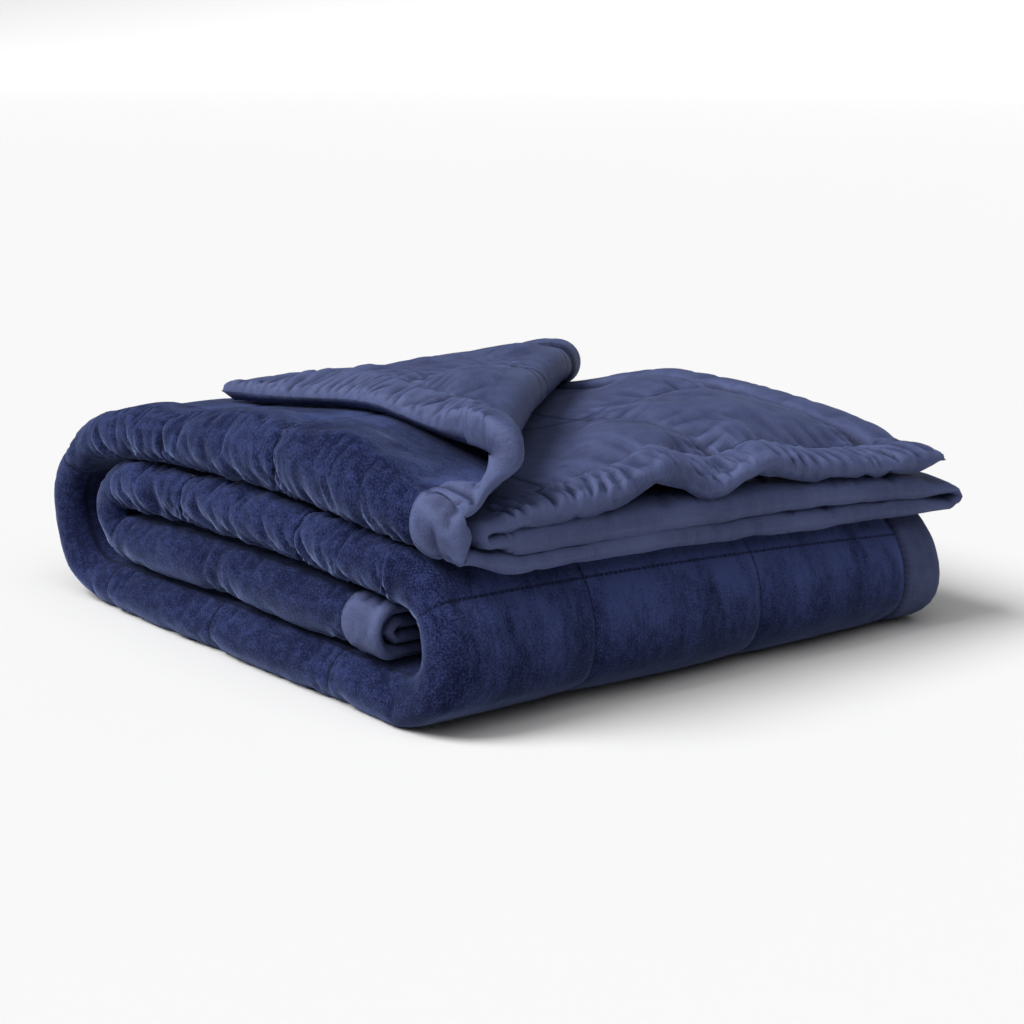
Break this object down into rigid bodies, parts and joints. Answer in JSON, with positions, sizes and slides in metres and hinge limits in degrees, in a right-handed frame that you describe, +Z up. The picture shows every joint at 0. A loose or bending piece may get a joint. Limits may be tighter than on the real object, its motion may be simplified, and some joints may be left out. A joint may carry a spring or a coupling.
{
  "type": "down alternative blanket",
  "caption": "Square box-quilted blanket, plush face and smooth microfibre backing with a plain hem border, folded to a thick layered stack with a top corner turned back to show the backing.",
  "frame": {"origin": "centre of the folded stack's bounding box, on the surface that it lies on", "axes": "+Z up; +X along the long rounded front fold, towards the open side hems; +Y from the front fold to the back"},
  "size_m": [0.593, 0.63, 0.2311],
  "materials": {
    "blanket": "navy short-pile plush face, smooth microfibre backing and hem border"
  },
  "bodies": {
    "root": {"blanket": "blanket"}
  },
  "joints": []
}
